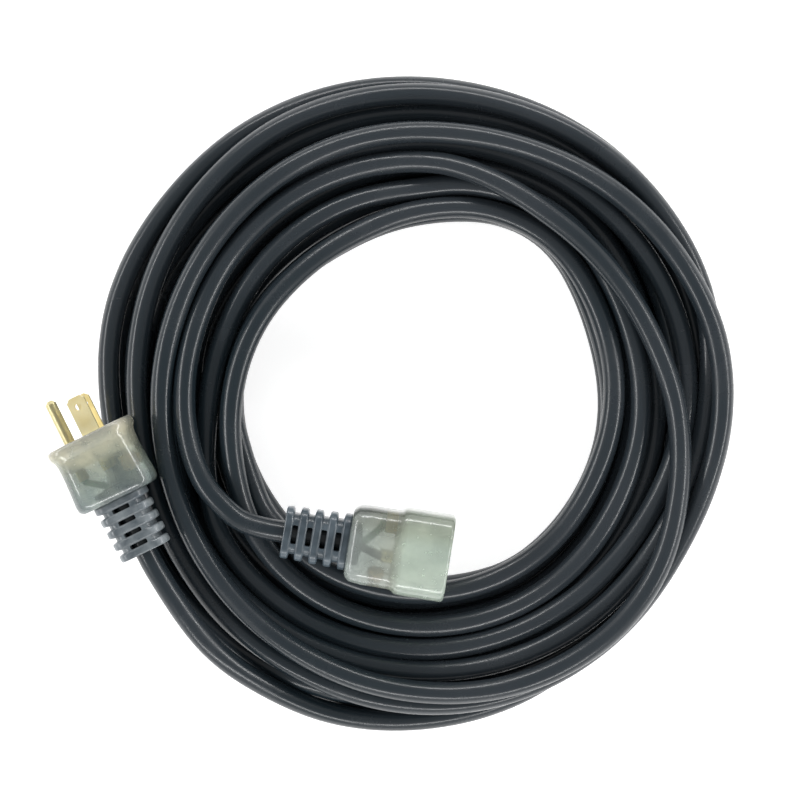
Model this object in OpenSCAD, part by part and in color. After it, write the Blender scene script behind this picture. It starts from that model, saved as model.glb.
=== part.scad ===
// Shore power cord: a long three-core cord wound in a round coil that lies on the floor,
// with a clear moulded plug on its outer end and a clear moulded connector on its inner end.
// Lengths are in millimetres, and the floor is at z = 0.

/* [Cord] */
// Outside diameter of the cord's jacket
cord_d = 9.4; // [8.8:0.1:9.4]
// Outside diameter of one insulated wire
wire_d = 3.2; // [2.8:0.1:3.3]
// Diameter of the stranded copper in a wire
core_d = 2.2; // [1.8:0.1:2.4]

/* [Coil] */
// Mean outside diameter of the coil
coil_outer_d = 272; // [270:1:284]
// Mean diameter of the coil's opening
coil_inner_d = 152; // [140:1:153]
// How much taller than wide the coil's outline is
coil_oval = 2.4; // [0:0.2:4]
// Turns in each of the four layers
layer_turns = 4.75; // [3.75:0.5:4.75]
// Height from one layer's centre to the next
layer_step = 9.4; // [9:0.1:9.8]

/* [Plug] */
// Width of the plug's body, from the ground pin's side to the blades' side
plug_w = 37.6; // [36:0.2:42]
// Thickness of the plug's body
plug_t = 27; // [26:0.5:30]
// Length of the plug's body
plug_len = 30; // [29:0.5:34]
// Length of the front flange that the fingers push on
plug_flange = 4; // [3:0.5:6]
// How far the flange stands out from the waist behind it
plug_waist = 1.6; // [0.8:0.1:2.4]
// Wall of the plug's body round the blade carrier
plug_wall = 4; // [3:0.2:4.4]
// Length of the blade carrier
carrier_len = 12; // [10:0.5:13]
// Length of a blade in front of the face
blade_len = 16.4; // [15.9:0.1:18.2]
// Width of the line blade
blade_w = 6.35; // [6.1:0.05:6.5]
// Width of the wider neutral blade
neutral_w = 7.9; // [7.6:0.1:8.1]
// Thickness of both blades
blade_t = 1.5; // [1.4:0.05:1.6]
// Diameter of the ground pin
pin_d = 4.8; // [4.6:0.1:4.9]
// Length of the ground pin in front of the face
pin_len = 19.6; // [19:0.1:21.4]
// Diameter of the ground pin's shank inside the carrier
pin_shank_d = 5.8; // [5.2:0.1:6.4]

/* [Contact layout] */
// Distance between the two blades' middles
blade_gap = 12.7; // [12.5:0.1:12.9]
// Distance from the blades' line to the ground pin
pin_offset = 11.9; // [11.7:0.1:12.1]
// Distance from the blades' line to the middle of the face
blade_shift = 2.9; // [2:0.1:4]

/* [Connector] */
// Width of the connector's front
connector_w = 36.4; // [35:0.2:42]
// How much each side of the connector's rear is set in
connector_step = 1.7; // [0.8:0.1:2.2]
// Thickness of the connector's body
connector_t = 28; // [27:0.5:31]
// Length of the connector's body
connector_len = 43; // [42:0.5:48]
// Wall of the connector's body round the contact block
connector_wall = 3.2; // [2.6:0.2:3.6]
// Length of the contact block
block_len = 23.5; // [22:0.5:25]
// Thickness of the block's front, which the contacts sit behind
block_face = 3; // [2:0.5:4]
// Width of the line slot
line_slot_w = 6.9; // [6.7:0.1:7.2]
// Width of the neutral slot
neutral_slot_w = 8.5; // [8.3:0.1:8.8]
// Thickness of both slots
slot_t = 2.1; // [1.8:0.1:2.3]
// Diameter of the ground hole
ground_hole_d = 5.4; // [5.2:0.1:5.8]
// How much narrower than the pin the ground contact is before the pin opens it
ground_grip = 0.1; // [0:0.05:0.3]
// Thickness of the contacts' sheet brass
contact_sheet = 0.8; // [0.6:0.1:1]
// Length of a contact behind the block's front
contact_len = 16; // [14:0.5:17]

/* [Strain reliefs] */
// Length of the plug's strain relief
plug_relief_len = 25.5; // [22:0.5:30]
// Length of the connector's strain relief
connector_relief_len = 27.8; // [24:0.2:32]
// Width over the ribs next to the body
relief_w = 23.6; // [22:0.2:26]
// Width over the ribs at the cord's end
relief_tip_w = 22; // [20:0.2:24]
// Thickness over the ribs next to the body
relief_t = 16.4; // [16:0.2:18]
// Thickness over the ribs at the cord's end
relief_tip_t = 14.8; // [14.6:0.2:16]
// Number of ribs
rib_count = 5; // [3:1:6]
// Length of one rib along the cord
rib_len = 3.2; // [2:0.1:3.6]
// How far the ribs stand out at the sides
rib_depth = 2.6; // [1.6:0.1:3.4]
// Width of the windows that show the cord between the ribs
window_w = 7; // [4:0.5:8]

/* [Lamps] */
// Diameter of the neon lamp's glass
lamp_d = 4.2; // [3.6:0.1:4.6]
// Length of the neon lamp's glass
lamp_len = 7; // [6:0.5:7.5]
// Diameter of the lamp's resistor
resistor_d = 2.4; // [1.8:0.1:2.6]
// Length of the lamp's resistor
resistor_len = 6; // [5:0.5:6.5]
// Diameter of the lamp's bare leads
lead_d = 0.7; // [0.5:0.05:0.9]

/* [Hidden] */
$fn = 48;

// Clearance round a piece that sits in a pocket
fit = 0.1;
// A length that carries a cut past the face it opens
past = 1;

// ---- Colours ----
jacket_black = [0.16, 0.17, 0.18];
clear_pvc = [0.76, 0.82, 0.78, 0.55];
relief_pvc = [0.45, 0.50, 0.54, 0.8];
block_green = [0.80, 0.86, 0.79];
brass = [0.86, 0.74, 0.36];
wire_black = [0.12, 0.12, 0.12];
wire_white = [0.93, 0.93, 0.90];
wire_green = [0.15, 0.50, 0.25];
lamp_orange = [0.93, 0.55, 0.32];
resistor_tan = [0.80, 0.68, 0.48];
tinned = [0.75, 0.75, 0.76];

// ---- Coil ----
LAYERS = 4;
CLIMB = 0.5;
LOOP_RINGS = 24;
COIL_SIDES = 6;
// Depth of the flat that the coil stands on
flat_depth = cord_d / 10;
first_z = cord_d / 2 * cos(180 / COIL_SIDES) - flat_depth;
coil_top = first_z + (LAYERS - 1) * layer_step + cord_d / 2 * cos(180 / COIL_SIDES);
// Middle of the coil from the origin, which is the middle of the whole part's outline
coil_at = [10.9, 2.2, 0];
coil_start_angle = 305;
coil_turns = LAYERS * layer_turns + (LAYERS - 1) * CLIMB;
coil_rings = round(coil_turns * LOOP_RINGS);
// How far the outside and the opening lie off the coil's middle
outside_shift = [-0.4, 1.8];
opening_shift = [2, -1];

function mix(a, b, f) = a + (b - a) * f;
function spot(angle, r, z) = [r * cos(angle), r * sin(angle), z];
function outside_r(a) =
    (coil_outer_d - cord_d) / 2 - coil_oval / 4 * cos(2 * a)
    + outside_shift.x * cos(a) + outside_shift.y * sin(a);
function opening_r(a) =
    (coil_inner_d + cord_d) / 2 + opening_shift.x * cos(a) + opening_shift.y * sin(a);

// The layer that turn t is in, and how far through that layer it is
function layer_of(t) = min(LAYERS - 1, floor(t / (layer_turns + CLIMB)));
function layer_time(t) = t - layer_of(t) * (layer_turns + CLIMB);
// 0 at the opening, 1 at the outside: even layers wind inwards, odd ones outwards
function spread(t) =
    let (f = min(1, layer_time(t) / layer_turns))
    layer_of(t) % 2 == 0 ? 1 - f : f;
function coil_z(t) =
    first_z + layer_step * (layer_of(t) + max(0, layer_time(t) - layer_turns) / CLIMB);
function coil_angle(t) = coil_start_angle + 360 * t;
function coil_r(t) = mix(opening_r(coil_angle(t)), outside_r(coil_angle(t)), spread(t));
function coil_point(t) = spot(coil_angle(t), coil_r(t), coil_z(t));
function along(angle) = [-sin(angle), cos(angle), 0];

// The coil's two end faces, each a straight diameter past its last ring
coil_start_face = coil_point(0) - cord_d * along(coil_angle(0));
coil_end_face = coil_point(coil_turns) + cord_d * along(coil_angle(coil_turns));

function on_floor(p) = [p.x, p.y, max(0, p.z)];
function coil_ring(centre, angle) = [
    for (j = [0:COIL_SIDES - 1])
        let (a = 360 / COIL_SIDES * j)
        on_floor(centre + cord_d / 2 * [cos(a) * cos(angle), cos(a) * sin(angle), sin(a)])
];

// The least gap between two six-sided sections whose centres lie [dx, dz] apart is the
// distance from [dx, dz] to a section of twice the size
function corner(j) = cord_d * [cos(60 * j), sin(60 * j)];
function to_edge(p, a, b) =
    let (f = max(0, min(1, (p - a) * (b - a) / ((b - a) * (b - a)))))
    norm(p - a - f * (b - a));
function section_gap(p) = min([for (j = [0:5]) to_edge(p, corner(j), corner(j + 1))]);
function turn_gap(i, k) =
    let (a = coil_point(i / LOOP_RINGS), b = coil_point(k / LOOP_RINGS))
    section_gap([norm([b.x, b.y]) - norm([a.x, a.y]), b.z - a.z]);
// Between two rings the strands run as straight chords, which brings them closer together
chord_factor = cos(180 / LOOP_RINGS);
least_gap = chord_factor * min([
    for (i = [0:coil_rings - LOOP_RINGS])
        min([for (k = [i + LOOP_RINGS:LOOP_RINGS:coil_rings]) turn_gap(i, k)])
]);

// Faces of a tube from rings of equal size, as triangles
function ring_faces(count, sides) = [
    for (i = [0:count - 2])
        for (j = [0:sides - 1])
            let (n = (j + 1) % sides, a = i * sides, b = (i + 1) * sides)
            each [[a + j, a + n, b + j], [a + n, b + n, b + j]]
];
function cap_faces(count, sides) = [
    for (j = [1:sides - 2])
        let (e = (count - 1) * sides)
        each [[0, j + 1, j], [e, e + j, e + j + 1]]
];
module tube_of(rings) {
    sides = len(rings[0]);
    polyhedron(
        points = [for (r = rings) each r],
        faces = concat(ring_faces(len(rings), sides), cap_faces(len(rings), sides)),
        convexity = 10
    );
}

module cord_coil() {
    start_angle = coil_angle(0);
    end_angle = coil_angle(coil_turns);
    color(jacket_black)
        translate(coil_at)
            tube_of(concat(
                [coil_ring(coil_start_face, start_angle)],
                [for (i = [0:coil_rings])
                    coil_ring(coil_point(i / LOOP_RINGS), coil_angle(i / LOOP_RINGS))],
                [coil_ring(coil_end_face, end_angle)]
            ));
}

// ---- Where the plug and the connector lie ----
// The middle of the plug's face lies just outside the coil, and that of the connector inside
// it. The plug leans outwards over the coil's edge, and the connector lies nearly flat on the
// inner strands, high enough for a mating pin to pass over the cord that lies on the coil.
plug_out = 2.9;
plug_lift = 12.8;
plug_at = spot(185.7, coil_outer_d / 2 + plug_out, coil_top + plug_lift);
plug_heading = 116.2;
plug_pitch = 1.8;
plug_roll = -8;
connector_in = 8;
connector_lift = 15.6;
connector_at = spot(282.3, coil_inner_d / 2 - connector_in, coil_top + connector_lift);
connector_heading = -9.3;
connector_pitch = 0;
connector_roll = 3;

// ---- Free stretches of the cord ----
LEAD_SIDES = 8;
SPAN_RINGS = 2;
// Directions in which the plug and the connector point
function heading_of(heading, pitch) =
    [cos(pitch) * cos(heading), cos(pitch) * sin(heading), sin(pitch)];
plug_dir = heading_of(plug_heading, plug_pitch);
connector_dir = heading_of(connector_heading, connector_pitch);
// Where the cord leaves the two strain reliefs
plug_exit = plug_at - (plug_len + plug_relief_len) * plug_dir;
connector_exit = connector_at - (connector_len + connector_relief_len) * connector_dir;

// Routes about the coil's middle, as [angle, distance outwards from an edge of the coil,
// height]: the plug's lead runs down outside the coil, and the connector's lies on top of it
plug_route = [
    [230, 0, 39.5], [242, 2.5, 29], [255, 3, 19], [268, 2, 10], [282, -0.5, 4.5],
];
outer_route = [
    [144, -3.5, -1], [155, -12, 5], [168, -23, 5.2], [184, -28.5, 5], [202, -27.2, 5],
    [220, -21, 5], [239, -16, 5], [258, -12, 5], [277, -9, 5], [296, -7, 5],
    [315, -7, 5], [332, -12, 5], [350, -23, 5],
];
inner_route = [
    [370, 26.5, 5], [394, 19.5, 5], [420, 15, 5], [446, 11, 5], [472, 8.5, 5],
    [497, 10, 5], [518, 14.5, 5.6], [535, 19.3, 7], [549, 21.8, 9.2], [562, 20.6, 11.8],
    [574, 13.8, 14.2],
];
function route_points(route, edge, floor) =
    [for (p = route) spot(p[0], edge + p[1], floor + p[2])];

// A straight diameter at each end, and a smooth curve through the route between them
function bend(p0, p1, p2, p3, f) =
    0.5 * (2 * p1 + f * (p2 - p0) + f * f * (2 * p0 - 5 * p1 + 4 * p2 - p3)
        + f * f * f * (3 * p1 - p0 - 3 * p2 + p3));
function lead_centres(start, start_dir, route, end, end_dir) =
    let (
        knots = concat([start, start + cord_d * start_dir], route,
            [end - cord_d * end_dir, end]),
        last = len(knots) - 1
    )
    concat(
        [start],
        [for (i = [1:last - 2]) for (s = [0:SPAN_RINGS - 1])
            bend(knots[i - 1], knots[i], knots[i + 1], knots[i + 2], s / SPAN_RINGS)],
        [knots[last - 1], end]
    );
function unit(v) = v / norm(v);
// A section of a bent tube, square to the direction dir
function section(centre, dir, d) =
    let (side = unit(cross(dir, [0, 0, 1])), up = cross(side, dir))
    [for (j = [0:LEAD_SIDES - 1])
        let (a = 360 / LEAD_SIDES * (j + 0.5))
        centre + d / 2 * (cos(a) * side + sin(a) * up)];
function lead_ring(centre, dir) = [for (p = section(centre, dir, cord_d)) on_floor(p)];
function centre_dir(centres, i) =
    let (a = max(0, i - 1), b = min(len(centres) - 1, i + 1))
    unit(unit(centres[b] - centres[i] + (i == b ? centres[i] - centres[a] : [0, 0, 0]))
        + unit(centres[i] - centres[a] + (i == a ? centres[b] - centres[i] : [0, 0, 0])));
module lead(centres) {
    color(jacket_black)
        translate(coil_at)
            tube_of([for (i = [0:len(centres) - 1])
                lead_ring(centres[i], centre_dir(centres, i))]);
}

plug_centres = lead_centres(plug_exit, -plug_dir,
    route_points(plug_route, coil_outer_d / 2, 0),
    coil_start_face, along(coil_angle(0)));
connector_centres = lead_centres(coil_end_face, along(coil_angle(coil_turns)),
    concat(route_points(outer_route, coil_outer_d / 2, coil_top),
        route_points(inner_route, coil_inner_d / 2, coil_top)),
    connector_exit, connector_dir);

module cord_plug_lead() lead(plug_centres);
module cord_connector_lead() lead(connector_centres);

function path_length(points) =
    let (steps = [for (i = [1:len(points) - 1]) norm(points[i] - points[i - 1])])
    steps * [for (s = steps) 1];
coil_length = path_length([for (i = [0:coil_rings]) coil_point(i / LOOP_RINGS)]) + 2 * cord_d;
cord_length = coil_length + path_length(plug_centres) + path_length(connector_centres);

// ---- Shapes shared by the plug and the connector ----
// Both are drawn along X with the middle of the face at the origin, the front towards +X,
// the ground pin towards +Y and the neutral blade upwards on the plug
module rounded(w, t, r) {
    square([w - 2 * r, t], center = true);
    square([w, t - 2 * r], center = true);
    for (y = [-1, 1])
        for (z = [-1, 1])
            translate([y * (w / 2 - r), z * (t / 2 - r)])
                circle(r);
}
module along_x(from, to)
    translate([from, 0, 0])
        rotate([90, 0, 90])
            linear_extrude(to - from)
                children();
module rod_x(from, to, d)
    translate([from, 0, 0])
        rotate([0, 90, 0])
            cylinder(h = to - from, d = d);
module in_plug()
    translate(coil_at + plug_at)
        rotate([plug_roll, -plug_pitch, plug_heading])
            children();
module in_connector()
    translate(coil_at + connector_at)
        rotate([connector_roll, -connector_pitch, connector_heading])
            children();

// How much the front edge of a body is eased
edge_ease = 0.8;
// A body's outline in plan, and seen from the side: [x, half width] from the face to the rear
module body_form(plan, side, w, t, r) {
    intersection() {
        along_x(plan[len(plan) - 1][0], 0)
            rounded(w, t, r);
        translate([0, 0, -t])
            linear_extrude(2 * t)
                polygon(concat(plan, [for (i = [len(plan) - 1:-1:0]) [plan[i][0], -plan[i][1]]]));
        translate([0, w, 0])
            rotate([90, 0, 0])
                linear_extrude(2 * w)
                    polygon(concat(side,
                        [for (i = [len(side) - 1:-1:0]) [side[i][0], -side[i][1]]]));
    }
}

// The neck and the collar that lock a strain relief into its body
rear_wall = 3.5;
neck_d = 13;
collar_d = 17;
collar_len = 2;
jacket_stub = 0.6;
relief_corner = 5;
// Depth of the grooves between the ribs on the broad faces, and how much of a gap is window
groove_depth = 0.5;
window_share = 0.8;

// x = 0 is the body's rear face, and the relief runs back from it
function rib_pitch(length) = (length - rib_len) / (rib_count - 1);
module relief(length) {
    pitch = rib_pitch(length);
    difference() {
        union() {
            for (i = [0:rib_count - 1])
                let (f = i / (rib_count - 1))
                along_x(-pitch * i - rib_len, -pitch * i)
                    rounded(mix(relief_w, relief_tip_w, f), mix(relief_t, relief_tip_t, f),
                        relief_corner);
            for (i = [0:rib_count - 2])
                let (f = (i + 0.5) / (rib_count - 1))
                along_x(-pitch * (i + 1), -pitch * i - rib_len)
                    rounded(mix(relief_w, relief_tip_w, f) - 2 * rib_depth,
                        mix(relief_t, relief_tip_t, f) - 2 * groove_depth, relief_corner);
            rod_x(0, rear_wall, neck_d);
            rod_x(rear_wall, rear_wall + collar_len, collar_d);
        }
        rod_x(-length - past, rear_wall + collar_len + past, cord_d + fit);
        for (i = [0:rib_count - 2])
            translate([-pitch * i - rib_len - (pitch - rib_len) / 2, 0, 0])
                cube([(pitch - rib_len) * window_share, window_w, relief_t + past],
                    center = true);
    }
}

// A jacket end inside a strain relief, from the relief's outer face to just inside the body
module jacket_end(length)
    color(jacket_black)
        rod_x(-length, rear_wall + collar_len + jacket_stub, cord_d);

// Middles of the three wires where they leave the jacket, and of the two blades and the pin
// Three wires that touch lie 0.577 of their diameter from the middle, and these have some play
wire_spread = 0.61;
wire_circle = wire_d * wire_spread;
function wire_spot(angle) = [wire_circle * cos(angle), wire_circle * sin(angle)];
line_side = -1;
neutral_side = 1;
function blade_spot(side) = [-blade_shift, side * blade_gap / 2];
pin_spot = [pin_offset - blade_shift, 0];

// A crimped barrel behind x, open at its rear for the wire's copper
barrel_d = 4.6;
barrel_len = 5;
barrel_bore_len = 4;
module barrel(x, at)
    translate([0, at.x, at.y])
        difference() {
            rod_x(x - barrel_len, x, barrel_d);
            rod_x(x - barrel_len - past, x - barrel_len + barrel_bore_len, core_d + 2 * fit);
        }

// A wire from the jacket's end to a barrel: straight, slanted, straight, with bare copper
module bent_rod(points, d)
    tube_of([for (i = [0:len(points) - 1]) section(points[i], centre_dir(points, i), d)]);
wire_run = 1;
module wire(jacket_x, barrel_x, from, to) {
    bent_rod([
        [jacket_x, from.x, from.y], [jacket_x + wire_run, from.x, from.y],
        [barrel_x - wire_run, to.x, to.y], [barrel_x, to.x, to.y],
    ], wire_d);
    translate([0, to.x, to.y])
        rod_x(barrel_x - wire_run, barrel_x + barrel_bore_len - fit, core_d);
}

// The lamp and its resistor lie beside the blades' line, away from the ground pin
lamp_drop = 6.8;
lamp_gap = 0.8;
// From the rear of the carrier or the block to the lamp's foot
lamp_back = 2.6;
lamp_y = -blade_shift - lamp_drop;
// The pinched glass foot that the lamp's leads come out of
foot_len = 1;
foot_share = 0.7;
module lamp(x, y) {
    translate([0, y, 0]) {
        rod_x(x - lamp_len + lamp_d / 2, x - foot_len, lamp_d);
        translate([x - lamp_len + lamp_d / 2, 0, 0])
            sphere(d = lamp_d);
        rod_x(x - foot_len, x, lamp_d * foot_share);
    }
}
resistor_lift = 5.4;
// The resistor's waist is thinner than the caps near its two ends
waist_share = 0.8;
cap_from = 0.2;
cap_to = 1.6;
module resistor(x, y)
    translate([0, y, resistor_lift]) {
        rod_x(x - resistor_len, x, resistor_d * waist_share);
        rod_x(x - cap_to, x - cap_from, resistor_d);
        rod_x(x - resistor_len + cap_from, x - resistor_len + cap_to, resistor_d);
    }
// A bare lead turns back from the lamp's foot to its resistor
module lamp_leads(x, y) {
    foot = lead_d * 1.4;
    front = x + lamp_gap + foot;
    bent_rod([[x, y, foot], [front - foot, y, foot], [front, y, 2 * foot],
        [front, y, resistor_lift - foot], [front - foot, y, resistor_lift],
        [x, y, resistor_lift]], lead_d);
}

// ---- Plug ----
plug_cavity_w = plug_w - 2 * plug_wall;
plug_cavity_t = plug_t - 2 * plug_wall;
plug_corner = 8;
cavity_corner = 4;
// The slope from the flange down to the waist, and the swell and the taper behind it
flange_slope = 3;
waist_end = 0.6;
plug_swell = 0.9;
plug_taper = 2;
plug_jacket_x = rear_wall + collar_len + jacket_stub - plug_len;
plug_barrel_x = -carrier_len - barrel_len;

module plug_body() {
    waist_w = plug_w / 2 - plug_waist;
    waist_t = plug_t / 2 - plug_waist;
    color(clear_pvc)
        in_plug()
            difference() {
                body_form(
                    [[0, plug_w / 2 - edge_ease], [-edge_ease, plug_w / 2],
                        [-plug_flange, plug_w / 2], [-plug_flange - flange_slope, waist_w],
                        [-plug_len * waist_end, waist_w + plug_swell / 3],
                        [-plug_len + plug_taper, waist_w + plug_swell],
                        [-plug_len, waist_w - plug_swell]],
                    [[0, plug_t / 2 - edge_ease], [-edge_ease, plug_t / 2],
                        [-plug_flange, plug_t / 2], [-plug_flange - flange_slope, waist_t],
                        [-plug_len * waist_end, waist_t],
                        [-plug_len + plug_taper, waist_t - plug_taper / 3],
                        [-plug_len, waist_t - plug_taper]],
                    plug_w, plug_t, plug_corner);
                along_x(rear_wall - plug_len, past)
                    rounded(plug_cavity_w, plug_cavity_t, cavity_corner);
                rod_x(-plug_len - past, rear_wall - plug_len + past, neck_d + fit);
            }
}
module plug_strain_relief()
    color(relief_pvc)
        in_plug()
            translate([-plug_len, 0, 0])
                relief(plug_relief_len);
module cord_plug_end()
    in_plug()
        translate([-plug_len, 0, 0])
            jacket_end(plug_relief_len);
module plug_blade_carrier()
    color(block_green)
        in_plug()
            difference() {
                along_x(-carrier_len, 0)
                    rounded(plug_cavity_w - 2 * fit, plug_cavity_t - 2 * fit, cavity_corner - fit);
                for (side = [line_side, neutral_side])
                    translate([-carrier_len / 2, -blade_shift, side * blade_gap / 2])
                        cube([carrier_len + 2 * past,
                            (side == line_side ? blade_w : neutral_w) + 2 * fit,
                            blade_t + 2 * fit], center = true);
                translate([0, pin_spot.x, 0])
                    rod_x(-carrier_len - past, past, pin_shank_d + 2 * fit);
            }
blade_tip = 1.6;
blade_hole_d = 3;
blade_hole_back = 4.5;
module blade(w, side) {
    color(brass)
        in_plug() {
            difference() {
                translate([0, -blade_shift, side * blade_gap / 2 - blade_t / 2])
                    linear_extrude(blade_t)
                        polygon([[-carrier_len, -w / 2], [blade_len - blade_tip, -w / 2],
                            [blade_len, -w / 2 + blade_tip], [blade_len, w / 2 - blade_tip],
                            [blade_len - blade_tip, w / 2], [-carrier_len, w / 2]]);
                translate([blade_len - blade_hole_back, -blade_shift, 0])
                    cylinder(h = 3 * blade_gap, d = blade_hole_d, center = true);
            }
            barrel(-carrier_len, blade_spot(side));
        }
}
module plug_line_blade() blade(blade_w, line_side);
module plug_neutral_blade() blade(neutral_w, neutral_side);
pin_tip = 1.4;
module plug_ground_pin() {
    color(brass)
        in_plug() {
            translate([0, pin_spot.x, 0]) {
                rod_x(-carrier_len, 0, pin_shank_d);
                rod_x(0, pin_len - pin_tip, pin_d);
                translate([pin_len - pin_tip, 0, 0])
                    rotate([0, 90, 0])
                        cylinder(h = pin_tip, d1 = pin_d, d2 = pin_d - 2 * pin_tip);
            }
            barrel(-carrier_len, pin_spot);
        }
}
module plug_wire(colour, angle, to)
    color(colour)
        in_plug()
            wire(plug_jacket_x, plug_barrel_x, wire_spot(angle), to);
module plug_line_wire() plug_wire(wire_black, 240, blade_spot(line_side));
module plug_neutral_wire() plug_wire(wire_white, 120, blade_spot(neutral_side));
module plug_ground_wire() plug_wire(wire_green, 0, pin_spot);

plug_lamp_x = -carrier_len - lamp_back;
module plug_lamp() color(lamp_orange) in_plug() lamp(plug_lamp_x, lamp_y);
module plug_lamp_resistor() color(resistor_tan) in_plug() resistor(plug_lamp_x, lamp_y);
module plug_lamp_leads() color(tinned) in_plug() lamp_leads(plug_lamp_x, lamp_y);

// ---- Connector ----
connector_cavity_w = connector_w - 2 * connector_wall;
connector_cavity_t = connector_t - 2 * connector_wall;
connector_corner = 8;
// The shoulder lies just in front of the block's rear, and the sides slope in behind it
shoulder_back = 2.5;
shoulder_slope = 2;
rear_ease = 4;
rear_round = 1.4;
// How much thinner the rear of the body is than its front, on each broad face
rear_thin = 1;
// How much narrower and thinner the rear hollow is than the block's pocket, on each side
hollow_step = [1, 2];
connector_jacket_x = rear_wall + collar_len + jacket_stub - connector_len;
connector_barrel_x = -block_len - barrel_len;

module connector_body() {
    front_w = connector_w / 2;
    rear_w = front_w - connector_step;
    front_t = connector_t / 2;
    rear_t = front_t - rear_thin;
    shoulder = block_len - shoulder_back;
    color(clear_pvc)
        in_connector()
            difference() {
                body_form(
                    [[0, front_w - edge_ease], [-edge_ease, front_w], [-shoulder, front_w],
                        [-shoulder - shoulder_slope, rear_w], [-connector_len + rear_ease, rear_w],
                        [-connector_len, rear_w - rear_round]],
                    [[0, front_t - edge_ease], [-edge_ease, front_t], [-shoulder, front_t],
                        [-shoulder - shoulder_slope, rear_t],
                        [-connector_len + rear_ease, rear_t],
                        [-connector_len, rear_t - rear_round]],
                    connector_w, connector_t, connector_corner);
                along_x(-block_len, past)
                    rounded(connector_cavity_w, connector_cavity_t, cavity_corner);
                along_x(rear_wall - connector_len, past - block_len)
                    rounded(connector_cavity_w - 2 * (connector_step + hollow_step.x),
                        connector_cavity_t - 2 * hollow_step.y, cavity_corner);
                rod_x(-connector_len - past, rear_wall - connector_len + past, neck_d + fit);
            }
}
module connector_strain_relief()
    color(relief_pvc)
        in_connector()
            translate([-connector_len, 0, 0])
                relief(connector_relief_len);
module cord_connector_end()
    in_connector()
        translate([-connector_len, 0, 0])
            jacket_end(connector_relief_len);

// Neutral and line swap sides on the connector, because it faces the plug
contact_play = 0.2;
contact_gap = blade_t + contact_play;
contact_t = contact_gap + 2 * contact_sheet;
contact_pocket = 0.4;
// Solid brass at the closed end of a contact
contact_back = 1.5;
module slot_and_pocket(side, slot_w) {
    translate([-block_face / 2, -blade_shift, side * blade_gap / 2])
        cube([block_face + 2 * past, slot_w, slot_t], center = true);
    translate([-block_face - (block_len - block_face + past) / 2, -blade_shift,
        side * blade_gap / 2])
        cube([block_len - block_face + past, slot_w + contact_pocket,
            contact_t + contact_pocket], center = true);
}
ground_contact_d = pin_d - ground_grip;
ground_sheet_d = ground_contact_d + 2 * contact_sheet;
// The contact's mouth flares, so that the pin finds it
mouth_len = 2.5;
mouth_flare = 1.1;
module connector_contact_block()
    color(block_green)
        in_connector()
            difference() {
                along_x(-block_len, 0)
                    rounded(connector_cavity_w - 2 * fit, connector_cavity_t - 2 * fit,
                        cavity_corner - fit);
                slot_and_pocket(-line_side, line_slot_w);
                slot_and_pocket(-neutral_side, neutral_slot_w);
                translate([0, pin_spot.x, 0]) {
                    rod_x(-block_face - past, past, ground_hole_d);
                    rod_x(-block_len - past, -block_face,
                        ground_sheet_d + mouth_flare + contact_pocket);
                }
            }
// A blade contact: two leaves joined at the rear, a tang and a crimped barrel
module blade_contact(side, w) {
    back = -block_face - contact_len;
    color(brass)
        in_connector() {
            translate([0, -blade_shift, side * blade_gap / 2]) {
                difference() {
                    translate([back, -w / 2, -contact_t / 2])
                        cube([contact_len, w, contact_t]);
                    translate([back + contact_back, -w / 2 - past, -contact_gap / 2])
                        cube([contact_len, w + 2 * past, contact_gap]);
                }
                translate([-block_len, -w / 3, -contact_gap / 2])
                    cube([block_len - contact_len - block_face + fit, w * 2 / 3, contact_gap]);
            }
            barrel(-block_len, blade_spot(side));
        }
}
module connector_line_contact() blade_contact(-line_side, line_slot_w - contact_play);
module connector_neutral_contact() blade_contact(-neutral_side, neutral_slot_w - contact_play);
module mouth_x(d)
    translate([-block_face - mouth_len, 0, 0])
        rotate([0, 90, 0])
            cylinder(h = mouth_len, d1 = d, d2 = d + mouth_flare);
module connector_ground_contact()
    color(brass)
        in_connector() {
            translate([0, pin_spot.x, 0])
                difference() {
                    union() {
                        rod_x(-block_len, -block_face - mouth_len, ground_sheet_d);
                        mouth_x(ground_sheet_d);
                    }
                    rod_x(-block_len + contact_back, -block_face - mouth_len + past,
                        ground_contact_d);
                    mouth_x(ground_contact_d);
                    for (turn = [0, 90])
                        rotate([turn, 0, 0])
                            translate([-block_face - contact_len / 2, 0, 0])
                                cube([contact_len, contact_sheet, 2 * ground_sheet_d],
                                    center = true);
                }
            barrel(-block_len, pin_spot);
        }
module connector_wire(colour, angle, to)
    color(colour)
        in_connector()
            wire(connector_jacket_x, connector_barrel_x, wire_spot(angle), to);
module connector_line_wire() connector_wire(wire_black, 120, blade_spot(-line_side));
module connector_neutral_wire() connector_wire(wire_white, 240, blade_spot(-neutral_side));
module connector_ground_wire() connector_wire(wire_green, 0, pin_spot);

connector_lamp_x = -block_len - lamp_back;
module connector_lamp() color(lamp_orange) in_connector() lamp(connector_lamp_x, lamp_y);
module connector_lamp_resistor()
    color(resistor_tan) in_connector() resistor(connector_lamp_x, lamp_y);
module connector_lamp_leads() color(tinned) in_connector() lamp_leads(connector_lamp_x, lamp_y);

echo(least_gap = least_gap, cord_length = cord_length, coil_turns = coil_turns);

cord_coil();
cord_plug_lead();
cord_connector_lead();
cord_plug_end();
cord_connector_end();
plug_body();
plug_strain_relief();
plug_blade_carrier();
plug_line_blade();
plug_neutral_blade();
plug_ground_pin();
plug_line_wire();
plug_neutral_wire();
plug_ground_wire();
plug_lamp();
plug_lamp_resistor();
plug_lamp_leads();
connector_body();
connector_strain_relief();
connector_contact_block();
connector_line_contact();
connector_neutral_contact();
connector_ground_contact();
connector_line_wire();
connector_neutral_wire();
connector_ground_wire();
connector_lamp();
connector_lamp_resistor();
connector_lamp_leads();
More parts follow.
